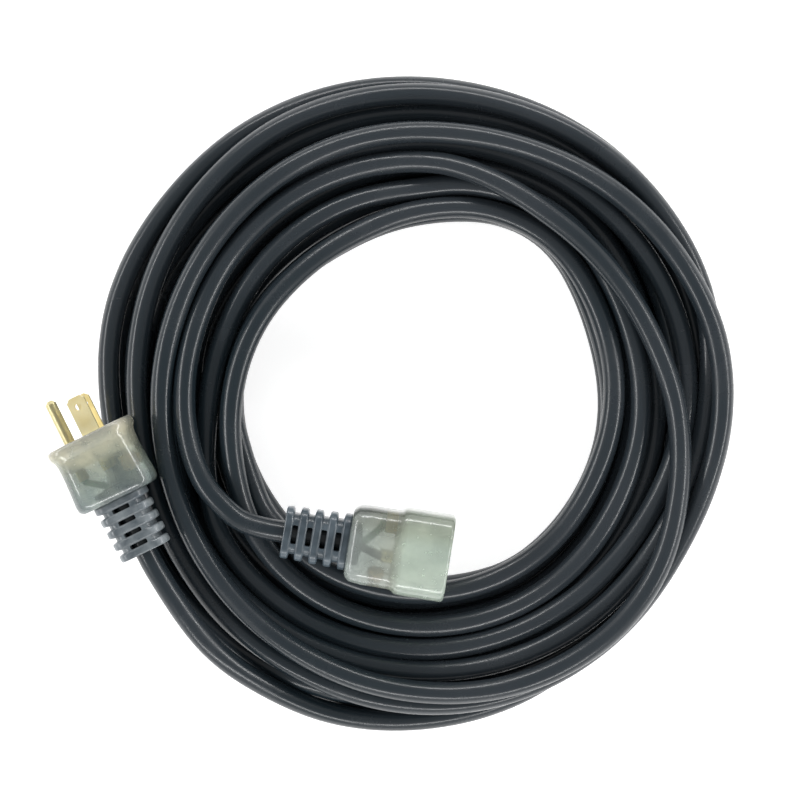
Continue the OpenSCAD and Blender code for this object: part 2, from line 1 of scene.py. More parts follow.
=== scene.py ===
# %% [markdown]
# # A shore power cord in a round coil
# This notebook dresses a finished CAD frame: a long black three-core cord wound in a coil, with a
# clear moulded plug on one end and a clear moulded connector on the other. The frame gives every
# piece its place and size, and the cells below give the cord its true curve and each piece its
# final shape and finish. Lengths are in metres, or in millimetres where a cell says so.

# %% Load the frame
import math

import bmesh
import bpy
import numpy as np
from mathutils import Matrix, Vector


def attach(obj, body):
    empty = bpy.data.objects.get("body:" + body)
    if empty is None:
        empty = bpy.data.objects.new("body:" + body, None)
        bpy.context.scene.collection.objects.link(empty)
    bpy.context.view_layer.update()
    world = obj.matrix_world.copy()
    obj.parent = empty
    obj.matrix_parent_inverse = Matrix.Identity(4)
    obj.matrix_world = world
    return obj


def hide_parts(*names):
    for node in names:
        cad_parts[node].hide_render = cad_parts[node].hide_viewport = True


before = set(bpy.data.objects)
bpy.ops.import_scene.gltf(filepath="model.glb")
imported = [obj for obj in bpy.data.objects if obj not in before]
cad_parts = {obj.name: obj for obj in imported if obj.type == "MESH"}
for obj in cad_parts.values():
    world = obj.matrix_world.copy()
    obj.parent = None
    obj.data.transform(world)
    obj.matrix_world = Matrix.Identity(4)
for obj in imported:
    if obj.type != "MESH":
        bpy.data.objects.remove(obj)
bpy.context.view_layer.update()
bpy.ops.object.select_all(action="DESELECT")
scene = bpy.context.scene
scene.view_settings.view_transform = "Standard"

# %% [markdown]
# ## Camera
# The camera hangs straight over the coil and looks down at it, as for a catalogue picture. It
# could be orthographic, but a long lens from a real height keeps the slight spread between the
# near plug and the far floor that the eye expects.

# %% Camera above the coil
EYE = Vector((0.0045, 0.00263, 1.3))
FOCAL_LENGTH = 133.2
SENSOR = 36
COIL_TOP = 0.035
lens = bpy.data.cameras.new("camera")
lens.lens = FOCAL_LENGTH
lens.sensor_width = SENSOR
lens.clip_end = 20
camera = bpy.data.objects.new("camera", lens)
camera.location = EYE
scene.collection.objects.link(camera)
scene.camera = camera
print("camera height", EYE.z, "field at the coil's top", round(SENSOR / FOCAL_LENGTH * (EYE.z - COIL_TOP), 4))

# %% [markdown]
# ## Route of the cord
# The cord is one unbroken length. It leaves the plug, runs down outside the coil to the floor,
# winds in, out and in again through three layers, and comes out on top, where its last stretch
# crosses the coil to the connector. One curve could be drawn by hand all the way, but the hidden
# turns follow a rule: a loop works them out from layer, spread and climb, as the CAD model does.
# The turns that show on top were laid by hand, so they wander and cross each other a little: they
# follow listed points, in one row for each turn.

# %% Sizes of the cord and places of its two ends
# A body is measured back from its face, and its relief back from the body. The cord's jacket ends
# a little way inside the body.
CORD_D = 0.0094
COIL_AT = Vector((0.0109, 0.0022, 0))
PLUG_AT = COIL_AT + Vector((-0.138213, -0.013796, 0.0482))
PLUG_TURN = (-8, -1.8, 116.2)
CONNECTOR_AT = COIL_AT + Vector((0.014486, -0.066439, 0.051))
CONNECTOR_TURN = (3, 0, -9.3)
PLUG_LEN = 0.030
PLUG_RELIEF = 0.0255
CONNECTOR_LEN = 0.043
CONNECTOR_RELIEF = 0.0278
JACKET_IN = 0.0061


def stand(at, turn):
    """The matrix of a moulded end: turned about X, Y and Z in that order, then moved."""
    x, y, z = (math.radians(a) for a in turn)
    spin = Matrix.Rotation(z, 4, "Z") @ Matrix.Rotation(y, 4, "Y") @ Matrix.Rotation(x, 4, "X")
    return Matrix.Translation(at) @ spin


PLUG = stand(PLUG_AT, PLUG_TURN)
CONNECTOR = stand(CONNECTOR_AT, CONNECTOR_TURN)
plug_exit = PLUG @ Vector((-PLUG_LEN - PLUG_RELIEF, 0, 0))
connector_exit = CONNECTOR @ Vector((-CONNECTOR_LEN - CONNECTOR_RELIEF, 0, 0))
print("plug end", [round(v, 4) for v in plug_exit], "connector end", [round(v, 4) for v in connector_exit])

# %% The law of the three lower layers
# Angles are in degrees and sizes in millimetres. A hand-wound coil isn't round, so soft swells
# push it in and out: each is how far, at which angle, and how many degrees wide. The strands also
# wander from the law, in a wave that slips some degrees with each turn.
START_ANGLE = 305
LAYER_TURNS = 4.75
CLIMB_TURNS = 0.5
LOWER_LAYERS = 3
STEPS_A_TURN = 48
FLOOR_Z = 4.75
LAYER_STEP = 9.0
WANDER = 0.3
WANDER_SLIP = 95
OUTSIDE_R = 131.3
OPENING_R = 80.7
RING_SWELLS = [(2.4, 46, 26), (-1.4, 336, 20)]
OUTSIDE_SWELLS = [(3.2, 128, 42), (3.4, 163, 19), (3.2, 219, 21), (2.8, 247, 20)]
OPENING_SWELLS = [
    (7, 56, 25), (-2.5, 132, 34), (-1.8, 116, 20), (-1, 205, 26), (1.4, 300, 14), (2.3, 338, 32),
]


def swell(angle, swells):
    """How far the swells push a strand out at this angle."""
    far_out = 0
    for most, middle, width in swells:
        off = (angle - middle + 180) % 360 - 180
        far_out += most * math.exp(-((off / width) ** 2))
    return far_out


def outside_r(angle):
    """Where the outermost strand's middle lies, from the coil's middle."""
    a = math.radians(angle)
    even = OUTSIDE_R - 0.6 * math.cos(2 * a) - 0.4 * math.cos(a) + 1.8 * math.sin(a)
    return even + swell(angle, OUTSIDE_SWELLS + RING_SWELLS)


def opening_r(angle):
    """Where the innermost strand's middle lies, from the coil's middle."""
    a = math.radians(angle)
    even = OPENING_R + 2 * math.cos(a) - math.sin(a)
    return even + swell(angle, OPENING_SWELLS + RING_SWELLS)


def spot(angle, r, z):
    """The point at an angle, a distance from the coil's middle and a height."""
    a = math.radians(angle)
    return Vector((r * math.cos(a), r * math.sin(a), z))


def coil_point(turn):
    """The middle of the cord after so many turns."""
    layer = min(LOWER_LAYERS - 1, int(turn // (LAYER_TURNS + CLIMB_TURNS)))
    within = turn - layer * (LAYER_TURNS + CLIMB_TURNS)
    share = min(1, within / LAYER_TURNS)
    spread = 1 - share if layer % 2 == 0 else share
    angle = START_ANGLE + 360 * turn
    r = opening_r(angle) + (outside_r(angle) - opening_r(angle)) * spread
    r += WANDER * math.sin(math.radians(2 * angle + WANDER_SLIP * turn))
    climbed = max(0, within - LAYER_TURNS) / CLIMB_TURNS
    climbed = climbed * climbed * (3 - 2 * climbed)
    return spot(angle, r, FLOOR_Z + LAYER_STEP * (layer + climbed))


# The last few points are left out, so that the cord runs smoothly into the top turns
LEFT_OUT = 3
lower_turns = LOWER_LAYERS * (LAYER_TURNS + CLIMB_TURNS)
lower_steps = round(lower_turns * STEPS_A_TURN) - LEFT_OUT
lower = [coil_point(i / STEPS_A_TURN) for i in range(1, lower_steps)]
print("points in the lower layers", len(lower), "turns", lower_turns)

# %% The plug's lead, and the top turns, one row a turn
# Each point is an angle, a distance from the coil's middle and a height. A row starts at 215
# degrees, where the top layer starts, and the last rows lie on top of the layer.
PLUG_ROUTE = [
    (230, 136, 39.5), (242, 138, 29), (255, 139.6, 19.2), (268, 139, 11), (282, 137.2, 6.3),
    (295, 134.2, 4.9),
]
TOP_TURNS = [
    [(215, 80, 31.7), (260, 82, 31.7), (310, 84, 31.7), (360, 85.5, 31.7), (390, 86.5, 31.7),
     (410, 88, 31.7), (430, 86.2, 32.3), (450, 80.8, 34.2), (470, 75.6, 35.8), (492, 73.8, 37.4),
     (515, 75.2, 39), (540, 78, 40.5), (560, 82, 40.5)],
    [(215, 87, 38.9), (232, 91.5, 34.8), (250, 94.5, 32.2), (275, 96.8, 31.7), (295, 98, 31.7),
     (320, 98.3, 31.7), (345, 98, 31.7), (365, 97, 31.7), (390, 96.2, 31.7), (415, 97.6, 31.7),
     (435, 95, 31.7), (450, 90.6, 31.7), (470, 89.3, 31.7), (495, 87.5, 31.7), (520, 86.4, 31.7),
     (545, 89.5, 31.7), (560, 95, 31.7)],
    [(215, 101, 31.7), (240, 104.3, 31.7), (270, 106.4, 31.7), (300, 108, 31.7), (320, 110.2, 31.7),
     (340, 113.5, 31.7), (360, 116.5, 31.7), (375, 117, 31.7), (390, 115.6, 31.7),
     (405, 113.4, 31.7), (425, 112, 31.7), (450, 111, 31.7), (485, 110, 31.7), (515, 108.6, 31.7),
     (545, 108, 31.7)],
    [(215, 111, 31.7), (240, 113, 31.7), (265, 115, 31.7), (290, 117.8, 31.7), (315, 120, 31.7),
     (335, 121.8, 31.7), (350, 124, 31.7), (365, 126.8, 31.7), (380, 130.6, 31.7),
     (400, 130.8, 31.7), (430, 131.2, 31.7), (460, 131.4, 31.7), (478, 130.6, 31.7),
     (492, 128, 31.8), (515, 123.6, 31.8), (535, 119.6, 31.8), (552, 118.1, 31.8)],
    [(215, 120.2, 31.8), (230, 123, 31.8), (248, 125.4, 31.8), (265, 128.8, 31.8),
     (285, 131.2, 31.8), (310, 130.8, 32), (330, 129.8, 34.2), (345, 130.6, 37),
     (358, 131.2, 39.8), (372, 130.4, 41), (390, 125.4, 40.2), (405, 121, 39.4), (420, 117.4, 39.9),
     (440, 114.8, 40.8), (460, 114, 40.4), (480, 112.2, 40.8), (500, 109.8, 41), (522, 108.2, 41),
     (544, 108.1, 41), (560, 109, 41)],
    [(215, 111.4, 41), (230, 114.4, 41), (245, 117.6, 41), (260, 121.2, 41), (272, 124, 41.2),
     (285, 127, 41.6), (300, 128.8, 42.4), (315, 128.6, 43), (327, 126, 43), (340, 120.2, 42.2),
     (350, 115.4, 41.6), (360, 110.8, 41.2), (370, 106, 41), (382, 101.4, 41), (398, 97, 41),
     (414, 95.6, 40.9), (428, 98, 40.8), (442, 101.4, 38.8), (458, 102.2, 36.2), (478, 101.9, 36),
     (500, 100.6, 36.2), (520, 98.8, 38.4), (536, 98.2, 41.4), (549, 97.6, 44.6), (562, 95.6, 47.2)],
    [(214, 89.6, 49.4)],
]


def end_run(matrix, back, ahead):
    """Three points of straight cord inside a strain relief, from the jacket's end outwards."""
    points = [matrix @ Vector((x, 0, 0)) for x in (back, (back + ahead) / 2, ahead)]
    return [(p - COIL_AT) * 1000 for p in points]


def smooth_path(knots, step):
    """A smooth curve through the knots, with a point about every step along it."""
    k = np.array([tuple(p) for p in knots])
    k = np.vstack([2 * k[0] - k[1], k, 2 * k[-1] - k[-2]])
    gap = np.sqrt(np.linalg.norm(np.diff(k, axis=0), axis=1))
    fine = []
    for i in range(1, len(k) - 2):
        p0, p1, p2, p3 = k[i - 1:i + 3]
        g0, g1, g2 = gap[i - 1:i + 2]
        m1 = g1 * ((p1 - p0) / g0 - (p2 - p0) / (g0 + g1)) + (p2 - p1)
        m2 = (p2 - p1) + g1 * ((p3 - p2) / g2 - (p3 - p1) / (g1 + g2))
        for t in np.linspace(0, 1, max(2, int(g1 * g1 / step) + 1), endpoint=False):
            fine.append((2 * t**3 - 3 * t**2 + 1) * p1 + (t**3 - 2 * t**2 + t) * m1
                        + (3 * t**2 - 2 * t**3) * p2 + (t**3 - t**2) * m2)
    fine.append(k[-2])
    return np.array(fine)


# The top turns are smoothed as angle, radius and height, so that they stay round between points;
# a degree counts as the 1.9 mm that it is halfway across the coil
DEGREE = 1.9
TOP_STEP = 14
ROUTE_STEP = 4.5
rows = [(DEGREE * (a + 360 * turn), r, z) for turn, row in enumerate(TOP_TURNS) for a, r, z in row]
top = []
for along, r, z in smooth_path(rows, TOP_STEP):
    angle = along / DEGREE
    top.append(spot(angle, r + swell(angle, RING_SWELLS), z))
plug_run = end_run(PLUG, JACKET_IN - PLUG_LEN, -PLUG_LEN - PLUG_RELIEF - CORD_D)
connector_run = end_run(CONNECTOR, JACKET_IN - CONNECTOR_LEN, -CONNECTOR_LEN - CONNECTOR_RELIEF - CORD_D)
knots = plug_run + [spot(*p) for p in PLUG_ROUTE] + lower + top + connector_run[::-1]
route = smooth_path(knots, ROUTE_STEP) / 1000 + np.array(COIL_AT)

# %% [markdown]
# ## The cord's skin
# A bevelled curve would give the tube at once, but its texture space is awkward. Sweeping a ring
# along the route gives the same tube with a UV map in which U is the length along the cord and V
# goes round it, so marks and wear can follow the jacket.

# %% Sweep a ring along the route
SIDES = 16


def sweep(name, path, radius, sides):
    """A closed tube along a path, with rings that don't twist."""
    ahead = np.gradient(path, axis=0)
    ahead /= np.linalg.norm(ahead, axis=1)[:, None]
    side = np.cross(ahead[0], (0, 0, 1.0))
    side /= np.linalg.norm(side)
    rings = []
    angles = np.arange(sides) * 2 * math.pi / sides
    for p, d in zip(path, ahead):
        side = side - d * (side @ d)
        side /= np.linalg.norm(side)
        up = np.cross(side, d)
        rings.append(p + radius * (np.cos(angles)[:, None] * side + np.sin(angles)[:, None] * up))
    verts = np.concatenate(rings)
    n = len(path)
    faces = []
    for here in range(0, (n - 1) * sides, sides):
        there = here + sides
        for j in range(sides):
            k = (j + 1) % sides
            faces.append((here + j, here + k, there + k, there + j))
    faces += [tuple(range(sides - 1, -1, -1)), tuple(range((n - 1) * sides, n * sides))]
    mesh = bpy.data.meshes.new(name)
    mesh.from_pydata(verts.tolist(), [], faces)
    along = np.concatenate([[0], np.linalg.norm(np.diff(path, axis=0), axis=1).cumsum()])
    uv = mesh.uv_layers.new(name="length_and_round")
    # The last face round each ring ends at V = 1 instead of going back to 0
    for i, face in enumerate(mesh.polygons):
        for loop in face.loop_indices:
            v = mesh.loops[loop].vertex_index
            j = v % sides
            if i < (n - 1) * sides and j == 0 and (i % sides) == sides - 1:
                j = sides
            uv.data[loop].uv = (along[v // sides], j / sides)
    mesh.update()
    obj = bpy.data.objects.new(name, mesh)
    scene.collection.objects.link(obj)
    bm = bmesh.new()
    bm.from_mesh(mesh)
    bmesh.ops.recalc_face_normals(bm, faces=bm.faces)
    bm.to_mesh(mesh)
    bm.free()
    mesh.shade_smooth()
    return obj


cord = sweep("cord", route, CORD_D / 2, SIDES)
print("cord triangles", 2 * len(cord.data.polygons))

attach(cord, "root")
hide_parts("cord_coil", "cord_plug_lead", "cord_connector_lead", "cord_plug_end", "cord_connector_end")

# %% [markdown]
# ## The two clear bodies
# Each body is one clear moulding with a flange or a shoulder that the fingers push on. It could
# be cut from a block with booleans, but it is quicker to pull it out of one rounded outline: a
# plane is stood across the axis, its corners are rounded, and it is extruded from station to
# station, with a change of size at each. The front is then inset and pushed in, which leaves a
# wall all round and a hollow for the blades, the wires and the lamp. Work is done at the origin
# along X, and the mesh is moved to its place at the end.

# %% Extrude a rounded outline from station to station
# Stations, corners and rounded edges are in millimetres, and walls and hollows in metres
BODY_CORNER = 7.5


def edit(obj):
    """Select one object alone and enter edit mode."""
    bpy.ops.object.select_all(action="DESELECT")
    bpy.context.view_layer.objects.active = obj
    obj.select_set(True)
    bpy.ops.object.mode_set(mode="EDIT")


def done():
    """Leave edit mode with nothing selected."""
    bpy.ops.object.mode_set(mode="OBJECT")
    bpy.ops.object.select_all(action="DESELECT")


def push(depth):
    """In edit mode: extrude what is selected backwards along X, in metres."""
    bpy.ops.mesh.extrude_region_move(TRANSFORM_OT_translate={"value": (-depth, 0, 0)})


def pull_out(stations):
    """In edit mode: extrude what is selected through (x, width, thickness) stations, in metres."""
    for (x0, w0, t0), (x1, w1, t1) in zip(stations, stations[1:]):
        push(x0 - x1)
        bpy.ops.transform.resize(value=(1, w1 / w0, t1 / t0), center_override=(x1, 0, 0))


def moulding(name, stations, corner, segments=5):
    """A closed form along X through (x, width, thickness) stations, in millimetres."""
    stations = [tuple(v / 1000 for v in row) for row in stations]
    x, w, t = stations[0]
    bpy.ops.mesh.primitive_plane_add(size=1)
    obj = bpy.context.active_object
    obj.name = name
    edit(obj)
    bpy.ops.mesh.select_all(action="SELECT")
    bpy.ops.transform.rotate(value=math.pi / 2, orient_axis="Y", center_override=(0, 0, 0))
    bpy.ops.transform.resize(value=(1, w, t), center_override=(0, 0, 0))
    bpy.ops.transform.translate(value=(x, 0, 0))
    bpy.ops.mesh.bevel(affect="VERTICES", offset=corner / 1000, segments=segments)
    pull_out(stations)
    bpy.ops.mesh.select_all(action="SELECT")
    bpy.ops.mesh.normals_make_consistent(inside=False)
    done()
    return obj


print("corners of a body", BODY_CORNER, "mm")

# %% Round a piece's edges, note its own lengths, and put it in its place
SHARP = 28
SMOOTH = 35


def finish_piece(obj, matrix, edge):
    """Round the sharp edges, turn the piece to its place, and leave its object at the origin."""
    bpy.context.view_layer.objects.active = obj
    obj.select_set(True)
    bevel = obj.modifiers.new("rounded edges", "BEVEL")
    bevel.width = edge / 1000
    bevel.segments = 3
    bevel.limit_method = "ANGLE"
    bevel.angle_limit = math.radians(SHARP)
    bpy.ops.object.modifier_apply(modifier=bevel.name)
    bpy.ops.object.shade_smooth_by_angle(angle=math.radians(SMOOTH))
    # How far back and how far across each point lies, in millimetres, is kept for the finishes, whose ramps
    # paint light and shade into the colour
    for name, axis, sign in (("back", 0, -1), ("across", 1, 1)):
        values = obj.data.attributes.new(name, "FLOAT", "POINT")
        values.data.foreach_set("value", [sign * v.co[axis] * 1000 for v in obj.data.vertices])
    obj.data.transform(matrix)
    obj.data.update()
    bpy.ops.object.select_all(action="DESELECT")
    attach(obj, "root")


print("edges rounded above", SHARP, "degrees, shaded smooth below", SMOOTH)

# %% Plug body
PLUG_WALL = 0.0031
PLUG_HOLLOW = 0.0265
BODY_EDGE = 0.5


def select_front(obj):
    """In edit mode: select only the flat front face, which lies at x = 0, and count it."""
    bm = bmesh.from_edit_mesh(obj.data)
    for f in bm.faces:
        f.select_set(abs(f.calc_center_median().x) < 0.00005 and f.normal.x > 0.99)
    bm.select_flush_mode()
    bmesh.update_edit_mesh(obj.data)
    return sum(f.select for f in bm.faces)


plug_body = moulding("plug_shell", [
    (0, 35.6, 25.0), (-0.9, 37.4, 26.8), (-2.4, 37.6, 27.0), (-4.0, 37.2, 26.6), (-5.6, 35.2, 24.8),
    (-7.6, 34.4, 24.0), (-13, 34.2, 23.8), (-20, 34.9, 23.8), (-26.5, 35.8, 23.0),
    (-28.6, 35.2, 21.8), (-30, 32.6, 19.4),
], BODY_CORNER)
edit(plug_body)
print("front faces", select_front(plug_body))
bpy.ops.mesh.inset(thickness=PLUG_WALL)
push(PLUG_HOLLOW)
done()
finish_piece(plug_body, PLUG, BODY_EDGE)
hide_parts("plug_body")
print("plug shell faces", len(plug_body.data.polygons))

# %% Connector body
# Behind the mouth, which holds the contact block, the hollow steps in to a narrower one
CONNECTOR_WALL = 0.0023
MOUTH = 0.0235
STEP = 0.0006
STEP_IN = (1, 0.82, 0.8)
CONNECTOR_BACK = 0.0154
connector_body = moulding("connector_shell", [
    (0, 34.6, 26.2), (-0.9, 36.2, 27.8), (-2.5, 36.4, 28.0), (-19.5, 36.4, 28.0),
    (-21.2, 36.0, 27.6), (-22.6, 33.6, 26.4), (-24.5, 33.0, 26.0), (-36, 32.9, 25.6),
    (-40.5, 31.8, 24.2), (-42.2, 29.6, 22.0), (-43, 27.2, 19.8),
], BODY_CORNER)
edit(connector_body)
print("front faces", select_front(connector_body))
bpy.ops.mesh.inset(thickness=CONNECTOR_WALL)
push(MOUTH)
push(STEP)
bpy.ops.transform.resize(value=STEP_IN, center_override=(0, 0, 0))
push(CONNECTOR_BACK)
done()
finish_piece(connector_body, CONNECTOR, BODY_EDGE)
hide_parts("connector_body")
print("connector shell faces", len(connector_body.data.polygons))

# %% [markdown]
# ## The ribbed strain reliefs
# A strain relief keeps the cord from bending sharply where it leaves the body. This one is a
# flat sleeve cut into ribs: side notches and windows through the broad faces let it flex. Each
# is pulled out like the bodies, wide at a rib and narrow at a notch, and then a rounded cutter for
# each window and a round one for the cord are taken out with Boolean modifiers. A neck and a
# collar on the front end lock it into the body.

# %% Strain reliefs
# Sizes are in millimetres. The sleeve tapers towards its last rib, and each rib's edges are eased,
# so that its ends are a little narrower and thinner than its middle. A window takes a share of the
# gap between two ribs. The neck's rows are how far inside the body, and how wide.
RIBS = 5
RIB_LEN = 3.2
RIB_DEPTH = 2.6
RELIEF_W = 23.6
RELIEF_T = 16.4
TAPER = 1.6
RELIEF_CORNER = 5
RELIEF_EDGE = 0.28
EASE_LEN = 0.5
EASE_W = 0.9
EASE_T = 0.5
NOTCH_SLOPE = 0.35
NOTCH_T = 1
WINDOW_SHARE = 0.8
WINDOW_W = 8
WINDOW_EDGE = 0.5
WINDOW_CUTTER_T = 30
BORE_PLAY = 0.05
BORE_CUTTER_LEN = 80
NECK = [(5.5, 15.8), (5.2, 17), (3.8, 17), (3.5, 13), (0.2, 13)]
NECK_CORNER = 6.4


def cut(obj, cutter):
    """Take a cutter out of an object, and throw the cutter away."""
    boolean = obj.modifiers.new("cut", "BOOLEAN")
    boolean.operation = "DIFFERENCE"
    boolean.solver = "EXACT"
    boolean.object = cutter
    bpy.context.view_layer.objects.active = obj
    bpy.ops.object.modifier_apply(modifier=boolean.name)
    bpy.data.objects.remove(cutter, do_unlink=True)


def rib_stations(pitch):
    """The sleeve's stations from its front end, wide at each rib and narrow at each notch."""
    stations = []
    for i in range(RIBS):
        along = i / (RIBS - 1)
        w, t = RELIEF_W - TAPER * along, RELIEF_T - TAPER * along
        x = -pitch * i
        end = (w - EASE_W, t - EASE_T)
        stations += [(x, *end), (x - EASE_LEN, w, t), (x - RIB_LEN + EASE_LEN, w, t), (x - RIB_LEN, *end)]
        if i < RIBS - 1:
            narrow = (w - 2 * RIB_DEPTH, t - NOTCH_T)
            stations += [(x - RIB_LEN - NOTCH_SLOPE, *narrow), (x - pitch + NOTCH_SLOPE, *narrow)]
    return stations


def window_cutter(middle, gap):
    """A block with rounded edges that stands through the sleeve between two ribs."""
    bpy.ops.mesh.primitive_cube_add(size=1, location=(middle / 1000, 0, 0))
    window = bpy.context.active_object
    edit(window)
    size = (gap * WINDOW_SHARE / 1000, WINDOW_W / 1000, WINDOW_CUTTER_T / 1000)
    bpy.ops.transform.resize(value=size, center_override=window.location)
    bpy.ops.mesh.bevel(offset=WINDOW_EDGE / 1000, segments=2, affect="EDGES")
    done()
    return window


def strain_relief(name, length, matrix, rear):
    """A ribbed sleeve behind a body whose rear face is at x = -rear."""
    pitch = (length - RIB_LEN) / (RIBS - 1)
    obj = moulding(name, [(x - rear, w, t) for x, w, t in rib_stations(pitch)], RELIEF_CORNER)
    for i in range(RIBS - 1):
        cut(obj, window_cutter(-rear - pitch * i - (pitch + RIB_LEN) / 2, pitch - RIB_LEN))
    bpy.ops.mesh.primitive_cylinder_add(
        vertices=48, radius=CORD_D / 2 + BORE_PLAY / 1000, depth=BORE_CUTTER_LEN / 1000,
        location=(-(rear + BORE_CUTTER_LEN / 4) / 1000, 0, 0), rotation=(0, math.pi / 2, 0),
    )
    cut(obj, bpy.context.active_object)
    neck = moulding(name + "_neck", [(inside - rear, w, w) for inside, w in NECK], NECK_CORNER, 8)
    neck.select_set(True)
    obj.select_set(True)
    bpy.context.view_layer.objects.active = obj
    bpy.ops.object.join()
    finish_piece(obj, matrix, RELIEF_EDGE)
    return obj


plug_relief = strain_relief("plug_relief", PLUG_RELIEF * 1000, PLUG, PLUG_LEN * 1000)
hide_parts("plug_strain_relief")
connector_relief = strain_relief("connector_relief", CONNECTOR_RELIEF * 1000, CONNECTOR, CONNECTOR_LEN * 1000)
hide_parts("connector_strain_relief")
print("relief faces", len(plug_relief.data.polygons), len(connector_relief.data.polygons))

# %% [markdown]
# ## Finishes
# Every finish has small irregularities, and they are of the same kinds: a fine grain and a few
# rubbed places. One shader node group makes both from a position on the piece, and each material
# places it with its own sizes. The group gives only masks and a height, so that the shader with
# its colours stays in each material.

# %% Handling wear, as a node group
def socket(group, name, kind, way="INPUT", value=None):
    """Give a node group a named input or output."""
    made = group.interface.new_socket(name, in_out=way, socket_type="NodeSocket" + kind)
    if value is not None:
        made.default_value = value


wear = bpy.data.node_groups.new("handling wear", "ShaderNodeTree")
socket(wear, "Position", "Vector")
socket(wear, "Patch scale", "Float", value=60)
socket(wear, "Grain scale", "Float", value=2500)
socket(wear, "Patches", "Float", "OUTPUT")
socket(wear, "Rubbed", "Float", "OUTPUT")
socket(wear, "Grain", "Float", "OUTPUT")
give = wear.nodes.new("NodeGroupInput")
take = wear.nodes.new("NodeGroupOutput")
patches = wear.nodes.new("ShaderNodeTexNoise")
patches.inputs["Detail"].default_value = 3
rubs = wear.nodes.new("ShaderNodeTexNoise")
rubs.inputs["Detail"].default_value = 6
rubs.inputs["Roughness"].default_value = 0.7
finer = wear.nodes.new("ShaderNodeMath")
finer.operation = "MULTIPLY"
finer.inputs[1].default_value = 4
rubbed = wear.nodes.new("ShaderNodeMapRange")
rubbed.inputs["From Min"].default_value = 0.52
rubbed.inputs["From Max"].default_value = 0.72
grain = wear.nodes.new("ShaderNodeTexNoise")
for texture in (patches, rubs, grain):
    wear.links.new(give.outputs["Position"], texture.inputs["Vector"])
wear.links.new(give.outputs["Patch scale"], patches.inputs["Scale"])
wear.links.new(give.outputs["Patch scale"], finer.inputs[0])
wear.links.new(finer.outputs[0], rubs.inputs["Scale"])
wear.links.new(give.outputs["Grain scale"], grain.inputs["Scale"])
wear.links.new(rubs.outputs["Fac"], rubbed.inputs["Value"])
wear.links.new(patches.outputs["Fac"], take.inputs["Patches"])
wear.links.new(rubbed.outputs["Result"], take.inputs["Rubbed"])
wear.links.new(grain.outputs["Fac"], take.inputs["Grain"])
print("wear group nodes", len(wear.nodes))


# %% A material with the wear in it
def finish(name, colour, other, rough, rub=0.1, patch=60, grain_scale=2500, grain_mm=0.01,
           metal=0.0, clear=0.0, coat=0.0):
    """A material whose colour drifts from one to another, with grain and rubbed places."""
    material = bpy.data.materials.new(name)
    material.use_nodes = True
    nodes, links = material.node_tree.nodes, material.node_tree.links
    shader = nodes["Principled BSDF"]
    shader.inputs["Metallic"].default_value = metal
    shader.inputs["Transmission Weight"].default_value = clear
    shader.inputs["Coat Weight"].default_value = coat
    shader.inputs["Coat Roughness"].default_value = 0.08
    where = nodes.new("ShaderNodeTexCoord")
    group = nodes.new("ShaderNodeGroup")
    group.node_tree = wear
    group.inputs["Patch scale"].default_value = patch
    group.inputs["Grain scale"].default_value = grain_scale
    links.new(where.outputs["Object"], group.inputs["Position"])
    spread = nodes.new("ShaderNodeMapRange")
    spread.inputs["From Min"].default_value = 0.35
    spread.inputs["From Max"].default_value = 0.65
    links.new(group.outputs["Patches"], spread.inputs["Value"])
    drift = nodes.new("ShaderNodeMix")
    drift.data_type = "RGBA"
    drift.inputs["A"].default_value = (*colour, 1)
    drift.inputs["B"].default_value = (*other, 1)
    links.new(spread.outputs["Result"], drift.inputs["Factor"])
    links.new(drift.outputs["Result"], shader.inputs["Base Color"])
    gloss = nodes.new("ShaderNodeMapRange")
    gloss.inputs["To Min"].default_value = rough
    gloss.inputs["To Max"].default_value = rough + rub
    links.new(group.outputs["Rubbed"], gloss.inputs["Value"])
    links.new(gloss.outputs["Result"], shader.inputs["Roughness"])
    bump = nodes.new("ShaderNodeBump")
    bump.inputs["Distance"].default_value = grain_mm / 1000
    bump.inputs["Strength"].default_value = 0.6
    links.new(group.outputs["Grain"], bump.inputs["Height"])
    links.new(bump.outputs["Normal"], shader.inputs["Normal"])
    return material


print("every finish places the group", wear.name)

# %% [markdown]
# ## The jacket
# The black jacket is soft PVC with a satin skin. The three wires inside are twisted together, and
# their lay shows as a faint slow spiral. It could be modelled, at a great cost in faces, so a bump
# makes it. The sweep's own UV map carries it: U is the length and V goes round, so a wave of three
# per turn of V that slides with U runs along the whole cord.

# %% Jacket finish
CORES = 3
LAY = 0.085
LAY_HEIGHT = 0.00006
jacket = finish(
    "black jacket", (0.011, 0.018, 0.023), (0.024, 0.030, 0.036), 0.23,
    rub=0.16, patch=9, grain_scale=1400, grain_mm=0.008,
)
nodes, links = jacket.node_tree.nodes, jacket.node_tree.links
uv = nodes.new("ShaderNodeUVMap")
uv.uv_map = "length_and_round"
parts = nodes.new("ShaderNodeSeparateXYZ")
links.new(uv.outputs["UV"], parts.inputs[0])


def maths(operation, a, b=None):
    """The output of a Math node in the jacket, fed by sockets or plain numbers."""
    node = nodes.new("ShaderNodeMath")
    node.operation = operation
    for i, v in enumerate((a, b)):
        if v is None:
            continue
        if isinstance(v, (int, float)):
            node.inputs[i].default_value = v
        else:
            links.new(v, node.inputs[i])
    return node.outputs[0]


turned = maths("MULTIPLY", parts.outputs["Y"], 2 * math.pi * CORES)
slid = maths("MULTIPLY", parts.outputs["X"], 2 * math.pi / LAY)
wave = maths("SINE", maths("ADD", turned, slid))
bump = next(n for n in nodes if n.type == "BUMP")
lay = nodes.new("ShaderNodeBump")
lay.inputs["Distance"].default_value = LAY_HEIGHT
lay.inputs["Strength"].default_value = 1
links.new(wave, lay.inputs["Height"])
links.new(lay.outputs["Normal"], bump.inputs["Normal"])
cord.data.materials.append(jacket)
print("jacket nodes", len(nodes))
